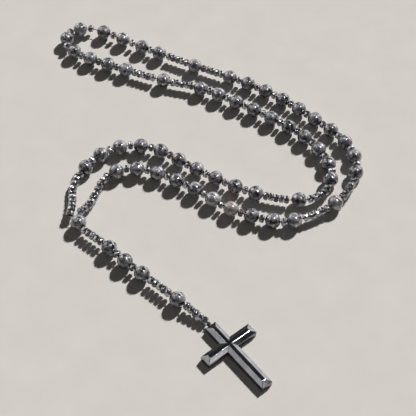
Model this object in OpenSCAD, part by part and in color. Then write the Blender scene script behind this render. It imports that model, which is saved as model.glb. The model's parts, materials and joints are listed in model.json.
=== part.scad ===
// Five-decade rosary: stone beads and faceted spacers on one black thread, with a bevelled cross.
// It lies doubled on a table, as it was put down. +Z is up, and z = 0 is the table.

/* [Stone beads] */
// Diameter of a stone bead
stone_diameter = 8; // [7:0.25:9]
// Diameter of the hole drilled through each stone and spacer
hole_diameter = 1.2; // [1.1:0.05:1.4]

/* [Spacer beads] */
// Width of a spacer across two opposite facets
spacer_diameter = 4; // [3.4:0.1:4.2]
// Length of a spacer along the thread
spacer_length = 2.5; // [2:0.1:3.2]
// Height of the band of upright facets round a spacer's middle
spacer_band = 1.2; // [0.8:0.1:1.4]
// Width of the flat round the hole at each end of a spacer
spacer_end_width = 3; // [2.4:0.1:3.2]

/* [Thread] */
// Diameter of the thread
thread_diameter = 0.5; // [0.3:0.05:0.5]
// Length of the knot above the cross
knot_length = 1.6; // [1.2:0.1:2.4]

/* [Slack on the thread] */
// Bare thread at each side of a spacer inside a decade
decade_play = 0.33; // [0.3:0.01:0.5]
// Bare thread between the spacers of the two long runs at the centre bead
long_run_play = 0.45; // [0.3:0.05:0.7]
// Bare thread at each bead of the tight turn in the third decade
turn_play = 1.15; // [1.05:0.05:1.3]
// Bare thread at the four places where the doubled loop folds
fold_play = 1.1; // [1:0.05:1.5]
// Bare thread at each place where the pendant bends
bend_play = 0.65; // [0.6:0.05:1]
// Bare thread between two spacers of the pendant's short runs
pendant_play = 0.25; // [0.2:0.05:0.5]
// Long bare stretch of thread in the third decade
bare_thread = 3; // [2:0.25:5]

/* [Cross] */
// Length of the cross from top to foot
cross_height = 41; // [34:1:50]
// Width of the cross across both arms
cross_width = 29; // [24:1:36]
// Width of each arm of the cross
cross_arm_width = 6; // [5:0.25:7]
// Thickness of the cross at its flat middle strip
cross_thickness = 4.4; // [4.1:0.1:5.5]
// Height of the cross's upright side walls
cross_side_height = 3.2; // [2.4:0.1:3.6]
// Width of the flat strip along the middle of each arm
cross_strip_width = 1.75; // [0.75:0.25:2.5]
// Length of the sloping facet at each end of the cross
cross_end_slope = 2.6; // [1.5:0.1:4]
// Distance from the top of the cross down to the middle of its arms
cross_arm_drop = 13.5; // [11:0.5:18]
// Depth of the hole in the top of the cross
cross_hole_depth = 8; // [5:0.5:9]

/* [Hidden] */

$fn = 48;
SPACER = 0;
STONE = 1;
KNOT = 2;

// --- How the string lies. Plan points are relative to the centre bead, and were chosen by eye.

// Way the upper mouth of the centre bead's hole faces
centre_bead_heading = 120;
// How far above the centre bead the first spacers of the left and the right strand start
strand_leads = [2, 1.5];
// Room between each strand's spacers and the middle between the strands
strand_room = 0.25;
// The loop, from the left strand above the centre bead and round to the right strand
loop_route = [
    [-4.5, 12], [-5, 24], [0.5, 36.5], [7, 45], [17, 50.5], [28, 52], [39, 48.5], [49, 42], [68.5, 30.5],
    [89, 21.5], [111, 18], [124, 24.5], [127.5, 41], [116, 60], [97, 74], [78, 85],
    [58, 95], [37, 100], [16, 107.5], [-5, 115.5], [-14.5, 121], [-19.5, 127.5], [-19, 135],
    [-10.5, 140.5], [3.5, 136.5], [25, 125.5], [54, 112.5], [85, 99], [104, 87.5], [120.5, 74],
    [135, 60], [141, 46], [138.5, 31], [127.5, 15.5], [108, 5], [96, 4.5], [75, 11.5], [56.5, 24],
    [37, 33.5], [26, 36], [16.5, 34], [9.5, 27], [4, 12]
];
// The pendant, from below the centre bead to the top of the cross
pendant_route = [[16.7, -15], [24.5, -22.8], [33.6, -30], [51, -44], [65, -54.9], [67.5, -57.5]];
// Bare thread between the spacers of each short run, from before the first Our Father bead on
run_plays = [0.2, 0.7, 0.2, 0.25, 0.2, 0.2, 0.65, 0.65];
// How much more bare thread each decade has at its spacers than decade_play
decade_slack = [0.14, -0.04, 0, 0, 0.02];
// Points worked out between two points of a route
curve_steps = 8;
// Room under the lowest spacers
table_gap = 0.1;
// Start of one thread past the end of the next, so that they clear each other when bent
thread_end_gap = 0.45;
// Room between the two strands inside a hole
strand_gap = 0.04;
// Sides of the thread
thread_sides = 8;

// --- Sizes that follow from the driving ones.

stone_radius = stone_diameter / 2;
spacer_corner_radius = spacer_diameter / 2 / cos(22.5);
strand_offset = (thread_diameter + strand_gap) / 2;
strands_reach = strand_offset + thread_diameter / 2;
cross_hole_height = cross_thickness / 2;
run_end_height = max(cross_hole_height, spacer_corner_radius + table_gap);

// --- What is on the loop. A decade is ten stones with a spacer between neighbours.

long_run = [for (i = [1:10]) SPACER];
short_run = [for (i = [1:5]) SPACER];
decade = [for (i = [1:19]) i % 2];
group = concat(decade, short_run, [STONE], short_run);
loop_pieces = concat(long_run, group, group, group, group, decade, long_run);
loop_count = len(loop_pieces);
// Places of a decade's first stone, and of an Our Father bead, on the loop
function decade_start(n) = len(long_run) + (n - 1) * len(group);
function our_father(n) = decade_start(n) + len(decade) + len(short_run);
right_run_start = decade_start(5) + len(decade);
loose_place = decade_start(3) + 11;
bare_gap = loose_place + 1;
turn_start = decade_start(3) + 6;
turn_end = turn_start + 10;
fold_gaps = [our_father(1), our_father(2) + 1, decade_start(3) + len(decade), decade_start(5)];

// Bare thread before piece i of the loop, and after the last one
function run_number(i) = floor((i - len(long_run) - len(decade)) / len(group));
function run_side(i) = i > our_father(run_number(i) + 1) ? 1 : 0;
function in_decade(i) = (i - len(long_run)) % len(group) < len(decade);
function decade_number(i) = floor((i - len(long_run)) / len(group));
function strung_play(i) =
    i <= len(long_run) || i >= right_run_start ? long_run_play :
    in_decade(i) && in_decade(i - 1) ? decade_play + decade_slack[decade_number(i)] :
    run_plays[2 * run_number(i - (in_decade(i) ? 1 : 0)) + (in_decade(i) ? 1 : run_side(i))];
function loop_play(i) =
    i == bare_gap ? bare_thread :
    len(search(i, fold_gaps)) > 0 ? fold_play :
    i > turn_start && i <= turn_end ? turn_play :
    strung_play(i);
loop_plays = [for (i = [0:loop_count]) loop_play(i)];

// --- What is on the pendant, from the centre bead to the knot.

pendant_pieces = concat([STONE], short_run, [STONE, SPACER, STONE, SPACER, STONE], short_run,
    [STONE], short_run, [KNOT]);
pendant_count = len(pendant_pieces);
// The pendant bends at these gaps
bend_gaps = [1, 6, 8, 10, 11, 16, 17, 22];
pendant_plays = [for (i = [0:pendant_count])
    len(search(i, bend_gaps)) > 0 || i == pendant_count ? bend_play : pendant_play];

// --- Where each gap between two pieces comes on the thread.

function piece_length(kind) =
    kind == STONE ? stone_diameter :
    kind == SPACER ? spacer_length :
    knot_length;
function gap_marks(kinds, plays) = [
    for (i = 0, s = 0; i <= len(kinds);
        s = s + (i < len(kinds) ? (plays[i] + plays[i + 1]) / 2 + piece_length(kinds[i]) : 0),
        i = i + 1) s];
loop_marks = gap_marks(loop_pieces, loop_plays);
pendant_marks = gap_marks(pendant_pieces, pendant_plays);

// A smooth curve through the points of a route, and the length run along it
function smooth(a, b, c, d, t) = 0.5 * (2 * b + (c - a) * t
    + (2 * a - 5 * b + 4 * c - d) * t * t + (3 * b - a - 3 * c + d) * t * t * t);
function curve(p) = concat([
    for (i = [0:len(p) - 2]) for (k = [0:curve_steps - 1])
        smooth(p[max(i - 1, 0)], p[i], p[i + 1], p[min(i + 2, len(p) - 1)], k / curve_steps)],
    [p[len(p) - 1]]);
function run_along(p) = [
    for (i = 0, s = 0; i < len(p);
        s = s + (i + 1 < len(p) ? norm(p[i + 1] - p[i]) : 0),
        i = i + 1) s];
function last(list) = list[len(list) - 1];
function place_on(p, marks) =
    let (run = run_along(p), stretch = last(run) / last(marks))
    [for (m = marks) [
        lookup(m * stretch, [for (k = [0:len(p) - 1]) [run[k], p[k].x]]),
        lookup(m * stretch, [for (k = [0:len(p) - 1]) [run[k], p[k].y]])]];

// The centre bead's hole, and where the two strands start beside each other above it
hole_way = [cos(centre_bead_heading), sin(centre_bead_heading)];
strand_side = [-hole_way.y, hole_way.x];
strand_spread = spacer_corner_radius + strand_room;
left_start = hole_way * (stone_radius + strand_leads[0]) + strand_side * strand_spread;
right_start = hole_way * (stone_radius + strand_leads[1]) - strand_side * strand_spread;

// The hand-chosen lay is scaled so that its length is the strung length of the pieces
function loop_curve(k) = curve(concat([left_start], k * loop_route, [right_start]));
lay_scale = last(loop_marks) / last(run_along(loop_curve(1)));
loop_plan = place_on(loop_curve(lay_scale), loop_marks);
pendant_mouth = hole_way * (stone_radius + pendant_plays[0] / 2);
function pendant_curve(k) = curve(concat([pendant_mouth, -pendant_mouth], k * pendant_route));
pendant_scale = last(pendant_marks) / last(run_along(pendant_curve(1)));
pendant_plan = place_on(pendant_curve(pendant_scale), pendant_marks);

// Heights: stones lie on the table, and the long runs sag to it between them
run_sag = stone_radius - spacer_corner_radius - table_gap;
function sag(i, count) = run_sag * pow(sin(180 * i / count), 2);
function loop_height(i) = stone_radius
    - (i < len(long_run) ? sag(i, len(long_run)) : 0)
    - (i > right_run_start ? sag(i - right_run_start, len(long_run)) : 0);
last_run_start = pendant_count - 1 - len(short_run);
function pendant_height(i) =
    i <= last_run_start ? stone_radius :
    i < pendant_count ? stone_radius
        + (run_end_height - stone_radius) * (i - last_run_start) / len(short_run) :
    cross_hole_height;

// The cross carries on from the knot, level with the table
cross_way = let (d = pendant_plan[pendant_count] - pendant_plan[pendant_count - 1]) d / norm(d);
cross_side = [-cross_way.y, cross_way.x];
cross_top = pendant_plan[pendant_count] + cross_way * bend_play / 2;
cross_ends = [for (along = [0, cross_height], side = [-1, 1])
    cross_top + cross_way * along + cross_side * side * cross_arm_width / 2];
cross_arm_ends = [for (along = [-1, 1], side = [-1, 1])
    cross_top + cross_way * (cross_arm_drop + along * cross_arm_width / 2)
    + cross_side * side * cross_width / 2];

// The origin is moved to the middle of the lay's box
function middles(p, kinds) = [for (i = [0:len(kinds) - 1]) if (kinds[i] == STONE) (p[i] + p[i + 1]) / 2];
stone_middles = concat(middles(loop_plan, loop_pieces), middles(pendant_plan, pendant_pieces));
stone_reach = [for (c = stone_middles, e = [-1, 1]) c + [e, e] * stone_radius];
reach = concat(stone_reach, cross_ends, cross_arm_ends);
lay_middle = [
    (min([for (p = reach) p.x]) + max([for (p = reach) p.x])) / 2,
    (min([for (p = reach) p.y]) + max([for (p = reach) p.y])) / 2];
function seat(p, z) = [p.x - lay_middle.x, p.y - lay_middle.y, z];
loop_gaps = [for (i = [0:loop_count]) seat(loop_plan[i], loop_height(i))];
pendant_gaps = [for (i = [0:pendant_count]) seat(pendant_plan[i], pendant_height(i))];
cross_seat = seat(cross_top, 0);
cross_heading = atan2(cross_way.y, cross_way.x);

// --- Shapes of the pieces, along Z about their own middle.

module hole(length) {
    cylinder(d = hole_diameter, h = length, center = true);
}

module stone_shape() {
    difference() {
        sphere(r = stone_radius);
        hole(stone_diameter + 1);
    }
}

// Two opposite columns of facets: a band between two slopes that end at the flat round the hole
module facet_pair(turn) {
    edge = spacer_diameter / 2;
    end = spacer_end_width / 2;
    top = spacer_length / 2;
    band = spacer_band / 2;
    outline = [[edge, -band], [edge, band], [end, top], [-end, top],
        [-edge, band], [-edge, -band], [-end, -top], [end, -top]];
    rotate([90, 0, turn])
        linear_extrude(height = spacer_diameter * 1.2, center = true)
            polygon(outline);
}

// Four pairs of facet columns, an eighth of a turn apart, give the eight-sided spacer
module spacer_shape() {
    difference() {
        intersection() {
            facet_pair(0);
            facet_pair(45);
            facet_pair(90);
            facet_pair(135);
        }
        hole(spacer_length + 1);
    }
}

// --- Setting a piece on the thread between its two gaps.

module on_thread(gaps, plays, kinds, i) {
    a = gaps[i];
    b = gaps[i + 1];
    way = (b - a) / norm(b - a);
    before = plays[i] + piece_length(kinds[i]);
    after = plays[i + 1] + piece_length(kinds[i]);
    translate(a + (b - a) * before / (before + after))
        rotate([0, acos(way.z), atan2(way.y, way.x)])
            children();
}

module loop_stone(i) {
    on_thread(loop_gaps, loop_plays, loop_pieces, i) stone_shape();
}

// Each spacer has turned a little further round the thread than the one before
module loop_spacer(i) {
    on_thread(loop_gaps, loop_plays, loop_pieces, i)
        rotate([0, 0, 19 * i])
            spacer_shape();
}

module pendant_stone(i) {
    color("dimgray")
        on_thread(pendant_gaps, pendant_plays, pendant_pieces, i)
            stone_shape();
}

module pendant_spacers(first, count) {
    color([0.1, 0.1, 0.12])
        for (i = [first:first + count - 1])
            on_thread(pendant_gaps, pendant_plays, pendant_pieces, i)
                rotate([0, 0, 19 * i])
                    spacer_shape();
}

// --- Stones and spacers of the loop.

module decade_stones(n) {
    color("dimgray")
        for (i = [0:9])
            loop_stone(decade_start(n) + 2 * i);
}

module decade_spacers(n) {
    color([0.1, 0.1, 0.12])
        for (i = [0:8])
            if (decade_start(n) + 2 * i + 1 != loose_place)
                loop_spacer(decade_start(n) + 2 * i + 1);
}

module loose_spacer() {
    color([0.1, 0.1, 0.12]) loop_spacer(loose_place);
}

module our_father_bead(n) {
    color("gray") loop_stone(our_father(n));
}

module run_spacers(first, count) {
    color([0.1, 0.1, 0.12])
        for (i = [first:first + count - 1])
            loop_spacer(i);
}

// --- The thread: a tube swept through its points, with one ring at each.

function unit(v) = v / norm(v);
function point_way(p, k) = unit(
    (k > 0 ? unit(p[k] - p[k - 1]) : [0, 0, 0])
    + (k < len(p) - 1 ? unit(p[k + 1] - p[k]) : [0, 0, 0]));
function side_of(way) = unit(cross([0, 0, 1], way));
function ring(p, k) =
    let (way = point_way(p, k), side = side_of(way), up = cross(way, side), r = thread_diameter / 2)
    [for (a = [0:thread_sides - 1])
        p[k] + r * (side * cos(a * 360 / thread_sides) + up * sin(a * 360 / thread_sides))];

module thread(p) {
    n = thread_sides;
    rings = len(p);
    points = [for (k = [0:rings - 1]) each ring(p, k)];
    walls = [for (k = [0:rings - 2], a = [0:n - 1])
        [k * n + a, (k + 1) * n + a, (k + 1) * n + (a + 1) % n, k * n + (a + 1) % n]];
    ends = [[for (a = [0:n - 1]) a], [for (a = [0:n - 1]) rings * n - 1 - a]];
    color([0.05, 0.05, 0.05])
        polyhedron(points = points, faces = concat(ends, walls));
}

// The points from gap first to gap last, cut back at the start to clear the piece before
function cut_back(p) = concat([p[0] + unit(p[1] - p[0]) * thread_end_gap],
    [for (k = [1:len(p) - 1]) p[k]]);
function loop_path(first, last) = [for (i = [first:last]) loop_gaps[i]];

// One strand inside the centre bead's hole: side is 1 on the left and -1 on the right
function mouth_path(side) =
    let (way = unit(pendant_gaps[1] - pendant_gaps[0]), off = side_of(way) * strand_offset * side)
    [pendant_gaps[1] + off, pendant_gaps[0] + off];

module thread_tail_left() {
    thread(concat(mouth_path(-1), loop_path(0, fold_gaps[0])));
}

module thread_tail_right() {
    thread(concat(mouth_path(1), [for (i = [0:loop_count - fold_gaps[3]]) loop_gaps[loop_count - i]]));
}

module thread_middle_lower() {
    thread(cut_back(loop_path(fold_gaps[0], fold_gaps[1])));
}

module thread_middle_upper() {
    path = loop_path(fold_gaps[2], fold_gaps[3]);
    reversed = [for (i = [len(path) - 1:-1:0]) path[i]];
    thread(cut_back(reversed));
}

module thread_end() {
    path = loop_path(fold_gaps[1], fold_gaps[2]);
    reversed = [for (i = [len(path) - 1:-1:0]) path[i]];
    shorter = cut_back(reversed);
    thread(cut_back([for (i = [len(shorter) - 1:-1:0]) shorter[i]]));
}

// Both ends of the thread run side by side down the pendant
module pendant_thread(first, last) {
    path = cut_back([for (i = [first:last]) pendant_gaps[i]]);
    for (side = [-1, 1])
        thread([for (k = [0:len(path) - 1])
            path[k] + side_of(point_way(path, k)) * strand_offset * side]);
}

// Three wraps of the thread, pulled tight round its own two strands above the cross
module knot() {
    wraps = 3;
    wrap_overlap = 0.85;
    wrap_radius = knot_length / (1 + (wraps - 1) * wrap_overlap) / 2;
    ring_radius = strands_reach + strand_gap + wrap_radius;
    pendant_thread(pendant_count - 1, pendant_count);
    color([0.05, 0.05, 0.05])
        on_thread(pendant_gaps, pendant_plays, pendant_pieces, pendant_count - 1)
            rotate_extrude()
                for (i = [0:wraps - 1])
                    translate([ring_radius, (2 * i + 1 - wraps) * wrap_radius * wrap_overlap])
                        circle(r = wrap_radius);
}

module thread_in_cross() {
    start = pendant_gaps[pendant_count];
    way = [cross_way.x, cross_way.y, 0];
    for (side = [-1, 1])
        thread([for (along = [thread_end_gap, bend_play / 2 + cross_hole_depth - 0.5])
            start + way * along + side_of(way) * strand_offset * side]);
}

// --- The cross: two bars with sloping sides and hipped ends, joined where their slopes meet.

module cross_bar(length) {
    half = cross_arm_width / 2;
    strip = cross_strip_width / 2;
    section = [[-half, 0], [half, 0], [half, cross_side_height], [strip, cross_thickness],
        [-strip, cross_thickness], [-half, cross_side_height]];
    side_view = [[0, 0], [length, 0], [length, cross_side_height],
        [length - cross_end_slope, cross_thickness], [cross_end_slope, cross_thickness],
        [0, cross_side_height]];
    intersection() {
        rotate([90, 0, 90])
            linear_extrude(height = length)
                polygon(section);
        rotate([90, 0, 0])
            linear_extrude(height = cross_arm_width + 2, center = true)
                polygon(side_view);
    }
}

module cross() {
    color([0.2, 0.2, 0.22])
        translate(cross_seat)
            rotate([0, 0, cross_heading])
                difference() {
                    union() {
                        cross_bar(cross_height);
                        translate([cross_arm_drop, -cross_width / 2, 0])
                            rotate([0, 0, 90])
                                cross_bar(cross_width);
                    }
                    translate([-1, 0, cross_hole_height])
                        rotate([0, 90, 0])
                            cylinder(d = hole_diameter, h = cross_hole_depth + 1);
                }
}

decade_stones(1);  // decade_1_stones
decade_stones(2);  // decade_2_stones
decade_stones(3);  // decade_3_stones
decade_stones(4);  // decade_4_stones
decade_stones(5);  // decade_5_stones
decade_spacers(1);  // decade_1_spacers
decade_spacers(2);  // decade_2_spacers
decade_spacers(3);  // decade_3_spacers
decade_spacers(4);  // decade_4_spacers
decade_spacers(5);  // decade_5_spacers
loose_spacer();
our_father_bead(1);  // our_father_1
our_father_bead(2);  // our_father_2
our_father_bead(3);  // our_father_3
our_father_bead(4);  // our_father_4
run_spacers(our_father(1) - 5, 5);  // spacers_before_our_father_1
run_spacers(our_father(1) + 1, 5);  // spacers_after_our_father_1
run_spacers(our_father(2) - 5, 5);  // spacers_before_our_father_2
run_spacers(our_father(2) + 1, 5);  // spacers_after_our_father_2
run_spacers(our_father(3) - 5, 5);  // spacers_before_our_father_3
run_spacers(our_father(3) + 1, 5);  // spacers_after_our_father_3
run_spacers(our_father(4) - 5, 5);  // spacers_before_our_father_4
run_spacers(our_father(4) + 1, 5);  // spacers_after_our_father_4
run_spacers(0, 10);  // left_run_spacers
run_spacers(right_run_start, 10);  // right_run_spacers
pendant_stone(0);  // centre_bead
thread_tail_left();
thread_tail_right();
thread_middle_lower();
thread_middle_upper();
thread_end();
pendant_stone(6);  // pendant_hail_mary_1
pendant_stone(8);  // pendant_hail_mary_2
pendant_stone(10);  // pendant_hail_mary_3
pendant_stone(16);  // pendant_our_father
pendant_spacers(1, 5);  // pendant_spacers_1
pendant_spacers(7, 1);  // pendant_spacer_2
pendant_spacers(9, 1);  // pendant_spacer_3
pendant_spacers(11, 5);  // pendant_spacers_4
pendant_spacers(17, 5);  // pendant_spacers_5
pendant_thread(1, 6);  // thread_pendant_1
pendant_thread(6, 8);  // thread_pendant_2
pendant_thread(8, 10);  // thread_pendant_3
pendant_thread(10, 11);  // thread_pendant_4
pendant_thread(11, 16);  // thread_pendant_5
pendant_thread(16, 17);  // thread_pendant_6
pendant_thread(17, 22);  // thread_pendant_7
thread_in_cross();
knot();
cross();
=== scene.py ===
# %% [markdown]
# # A rosary of larvikite and hematite beads
# This lesson dresses a five-decade rosary that was first built in CAD. The CAD model is the fixed
# frame: it says where every bead is, which pieces move together, and how big everything is. Here
# each piece gets a finer mesh where it needs one, and a material. Nothing is moved.

# %% Load the frame
import json
import math
import bisect
import random

import bmesh
import bpy
from mathutils import Matrix, Quaternion, Vector
from mathutils.bvhtree import BVHTree


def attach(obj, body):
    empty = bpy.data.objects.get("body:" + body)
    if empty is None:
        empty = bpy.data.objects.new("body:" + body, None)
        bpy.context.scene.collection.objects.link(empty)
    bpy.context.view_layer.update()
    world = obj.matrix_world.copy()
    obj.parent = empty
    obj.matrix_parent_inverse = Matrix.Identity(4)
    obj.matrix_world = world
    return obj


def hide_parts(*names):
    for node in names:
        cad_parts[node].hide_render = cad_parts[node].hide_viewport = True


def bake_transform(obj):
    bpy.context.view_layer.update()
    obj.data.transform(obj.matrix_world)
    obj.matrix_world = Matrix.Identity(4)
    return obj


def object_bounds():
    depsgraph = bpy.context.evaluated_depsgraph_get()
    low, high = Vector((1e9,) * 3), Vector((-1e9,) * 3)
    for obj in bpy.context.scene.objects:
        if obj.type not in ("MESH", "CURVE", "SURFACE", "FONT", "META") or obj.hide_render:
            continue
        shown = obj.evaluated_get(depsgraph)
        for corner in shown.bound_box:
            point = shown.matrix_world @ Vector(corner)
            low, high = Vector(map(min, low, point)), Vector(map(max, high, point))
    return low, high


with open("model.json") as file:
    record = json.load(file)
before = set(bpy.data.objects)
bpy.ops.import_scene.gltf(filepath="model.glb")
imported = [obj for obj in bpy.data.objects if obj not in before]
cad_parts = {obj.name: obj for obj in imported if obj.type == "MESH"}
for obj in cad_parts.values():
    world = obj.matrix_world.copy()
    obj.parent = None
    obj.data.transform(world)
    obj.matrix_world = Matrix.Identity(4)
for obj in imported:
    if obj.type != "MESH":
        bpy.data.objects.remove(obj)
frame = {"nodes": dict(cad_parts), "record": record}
cad_low, cad_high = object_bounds()
scene = bpy.context.scene
MM = 0.001
print("CAD box in mm:", [round(v / MM, 1) for v in cad_high - cad_low])

# %% [markdown]
# ## The camera
# The photograph was taken by someone standing at the near edge of the table. The 59 round beads all
# lie on one plane and all have one size, so they fix the camera: it is 450 mm above the table, looks
# down 52 degrees, and is rolled a little. A camera's own axes are the columns of its matrix: X to the
# right, Y up, and it looks along its minus Z.

# %% Set the camera
PHOTO_SIDE = 416
SENSOR_WIDTH = 36.0
CAMERA_PLACE = Vector((3.56, -362.45, 449.56)) * MM
CAMERA_DOWN = math.radians(52.08)
CAMERA_ROLL = math.radians(1.626)
CAMERA_LENS = 95.81
CAMERA_REACH = (0.01, 20.0)


def put_in_scene(name, data):
    """A new object that holds a mesh, a lamp or a camera."""
    made = bpy.data.objects.new(name, data)
    scene.collection.objects.link(made)
    return made


camera_data = bpy.data.cameras.new("camera")
camera_data.lens = CAMERA_LENS
camera_data.sensor_width = SENSOR_WIDTH
camera_data.clip_start, camera_data.clip_end = CAMERA_REACH
camera = put_in_scene("camera", camera_data)
scene.camera = camera

ahead = Vector((0, math.cos(CAMERA_DOWN), -math.sin(CAMERA_DOWN)))
level_right = Vector((1, 0, 0))
level_up = level_right.cross(ahead)
camera_right = math.cos(CAMERA_ROLL) * level_right + math.sin(CAMERA_ROLL) * level_up
camera_up = math.cos(CAMERA_ROLL) * level_up - math.sin(CAMERA_ROLL) * level_right
turn = Matrix((camera_right, camera_up, -ahead)).transposed()
camera.matrix_world = Matrix.Translation(CAMERA_PLACE) @ turn.to_4x4()
bpy.context.view_layer.update()
print("field of view:", round(math.degrees(camera_data.angle), 2), "degrees")

# %% [markdown]
# ## Points of the photograph
# These few points are the only pixels used. They say where the outline and the easiest beads to
# recognise are, and which stones are paler than the rest. One function turns a pixel into a ray and
# finds what it meets; another goes the other way, from a place to its pixel.

# %% Name the image points
IMAGE_EDGES = {"left": 59.0, "right": 362.0, "top": 24.0, "bottom": 389.0}
IMAGE_POINTS = {
    "centre_bead": (78.6, 222.4),
    "our_father_1": (296.9, 201.2),
    "our_father_2": (161.6, 82.0),
    "our_father_3": (193.0, 66.3),
    "our_father_4": (332.5, 205.0),
    "pendant_hail_mary_1": (109.4, 247.5),
    "pendant_hail_mary_3": (141.7, 273.4),
    "pendant_our_father": (176.4, 298.6),
    "cross_middle": (230.7, 343.2),
    "decade_1_first": (86.5, 166.9),
    "decade_2_first": (330.0, 179.8),
    "decade_4_first": (229.9, 77.6),
}


def pixel_ray(x, y):
    """The camera's ray through a pixel of the photograph, as (start, direction)."""
    data, side = camera.data, PHOTO_SIDE
    local = Vector((x - side / 2 + data.shift_x * side, side / 2 - y + data.shift_y * side,
                    -side * data.lens / data.sensor_width))
    world = camera.matrix_world
    return world.translation.copy(), (world.to_3x3() @ local).normalized()


def pixel_of(place):
    """The pixel of the photograph's frame at which a place shows."""
    data, side = camera.data, PHOTO_SIDE
    p = camera.matrix_world.inverted() @ Vector(place)
    focal = side * data.lens / data.sensor_width
    return (side / 2 - data.shift_x * side - focal * p.x / p.z,
            side / 2 + data.shift_y * side + focal * p.y / p.z)


def place_at(x, y, tree, candidates):
    """Where the ray through a pixel meets a piece; a miss takes the candidate nearest the ray."""
    start, way = pixel_ray(x, y)
    hit = tree.ray_cast(start, way)[0]
    if hit is not None:
        return hit
    return min(candidates, key=lambda c: ((c - start) - way * (c - start).dot(way)).length)


print("rays set up for", len(IMAGE_POINTS), "points and", len(IMAGE_EDGES), "edges")

# %% [markdown]
# ## How the string lies
# Beads on a thread are placed by walking along the thread. The route below is the same handful of
# round points that the CAD uses, in millimetres from the centre bead. A smooth curve is drawn through
# them, scaled so that it is exactly as long as the strung pieces, and then marked off at each gap
# between two pieces. Doing it again here gives every bead's place and the way its hole points.

# %% Sizes and route of the string
SPACER, STONE, KNOT = 0, 1, 2
LENGTHS = {SPACER: 2.5, STONE: 8.0, KNOT: 1.6}
STONE_RADIUS = 4.0
SPACER_RADIUS = 2.0
SPACER_CORNER = SPACER_RADIUS / math.cos(math.radians(22.5))
SPACER_TURN_DEGREES = 19
THREAD_RADIUS = 0.25
STRAND_OFFSET = 0.27
TABLE_GAP = 0.1
CROSS_HOLE_HEIGHT = 2.2
RUN_END_HEIGHT = max(CROSS_HOLE_HEIGHT, SPACER_CORNER + TABLE_GAP)
CENTRE_BEAD_HEADING = 120
LOOP_ROUTE = [
    (-4.5, 12), (-5, 24), (0.5, 36.5), (7, 45), (17, 50.5), (28, 52), (39, 48.5), (49, 42), (68.5, 30.5),
    (89, 21.5), (111, 18), (124, 24.5), (127.5, 41), (116, 60), (97, 74), (78, 85),
    (58, 95), (37, 100), (16, 107.5), (-5, 115.5), (-14.5, 121), (-19.5, 127.5), (-19, 135),
    (-10.5, 140.5), (3.5, 136.5), (25, 125.5), (54, 112.5), (85, 99), (104, 87.5), (120.5, 74),
    (135, 60), (141, 46), (138.5, 31), (127.5, 15.5), (108, 5), (96, 4.5), (75, 11.5), (56.5, 24),
    (37, 33.5), (26, 36), (16.5, 34), (9.5, 27), (4, 12)]
PENDANT_ROUTE = [(16.7, -15), (24.5, -22.8), (33.6, -30), (51, -44), (65, -54.9), (67.5, -57.5)]
STRAND_LEADS, STRAND_ROOM = (2, 1.5), 0.25
RUN_PLAYS = [0.2, 0.7, 0.2, 0.25, 0.2, 0.2, 0.65, 0.65]
DECADE_SLACK = [0.14, -0.04, 0, 0, 0.02]
DECADE_PLAY, LONG_RUN_PLAY, TURN_PLAY, FOLD_PLAY = 0.33, 0.45, 1.15, 1.1
BEND_PLAY, PENDANT_PLAY, BARE_THREAD = 0.65, 0.25, 3.0
CURVE_STEPS = 8
print("route points:", len(LOOP_ROUTE), "for the loop and", len(PENDANT_ROUTE), "for the pendant")

# %% [markdown]
# The thread meets its pieces in one fixed order, so a run of the string is a plain list of kinds. A
# gap has the number of the piece that comes after it, and the gaps that fold or bend are named by
# the beads beside them.

# %% List the pieces in string order
decade = [i % 2 for i in range(1, 20)]
long_run, short_run = [SPACER] * 10, [SPACER] * 5
group = decade + short_run + [STONE] + short_run
loop_pieces = long_run + group * 4 + decade + long_run
pendant_pieces = ([STONE] + short_run + [STONE, SPACER, STONE, SPACER, STONE] + short_run
                  + [STONE] + short_run + [KNOT])


def decade_start(n):
    return len(long_run) + (n - 1) * len(group)


def our_father(n):
    return decade_start(n) + len(decade) + len(short_run)


RIGHT_RUN = decade_start(5) + len(decade)
LOOSE = decade_start(3) + 11
TURN_START = decade_start(3) + 6
FOLD_GAPS = [our_father(1), our_father(2) + 1, decade_start(3) + len(decade), decade_start(5)]
BEND_GAPS = [1, 6, 8, 10, 11, 16, 17, 22, len(pendant_pieces)]
print("pieces on the thread:", len(loop_pieces), "on the loop and", len(pendant_pieces), "on the pendant")

# %% [markdown]
# The string is a little slack, so a bit of thread is bare at every gap. How much was judged from the
# photograph: a little inside a decade, more on the long runs and where the string turns round, and
# 3 mm beside the one spacer that has slipped away from its neighbour.


# %% Bare thread at each gap
def loop_play(i):
    """Bare thread, in mm, between piece i - 1 and piece i of the loop."""
    place = (i - len(long_run)) % len(group)
    in_decade, before_in = place < len(decade), (place - 1) % len(group) < len(decade)
    if i == LOOSE + 1:
        return BARE_THREAD
    if i in FOLD_GAPS:
        return FOLD_PLAY
    if TURN_START < i <= TURN_START + 10:
        return TURN_PLAY
    if i <= len(long_run) or i >= RIGHT_RUN:
        return LONG_RUN_PLAY
    if in_decade and before_in:
        return DECADE_PLAY + DECADE_SLACK[(i - len(long_run)) // len(group)]
    run = (i - in_decade - len(long_run) - len(decade)) // len(group)
    return RUN_PLAYS[2 * run + (1 if in_decade or i > our_father(run + 1) else 0)]


loop_plays = [loop_play(i) for i in range(len(loop_pieces) + 1)]
pendant_plays = [BEND_PLAY if i in BEND_GAPS else PENDANT_PLAY for i in range(len(pendant_pieces) + 1)]


def gap_marks(kinds, plays):
    """How far along the string each gap is, in mm."""
    marks = [0.0]
    for i, kind in enumerate(kinds):
        marks.append(marks[-1] + (plays[i] + plays[i + 1]) / 2 + LENGTHS[kind])
    return marks


print("strung length in mm:", round(gap_marks(loop_pieces, loop_plays)[-1], 1), "for the loop and",
      round(gap_marks(pendant_pieces, pendant_plays)[-1], 1), "for the pendant")

# %% [markdown]
# A Catmull-Rom curve goes through every point that it is given, so a route is steered by moving one
# point. The curve is cut into short steps, and adding those up says how far along it any place is.


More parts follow.
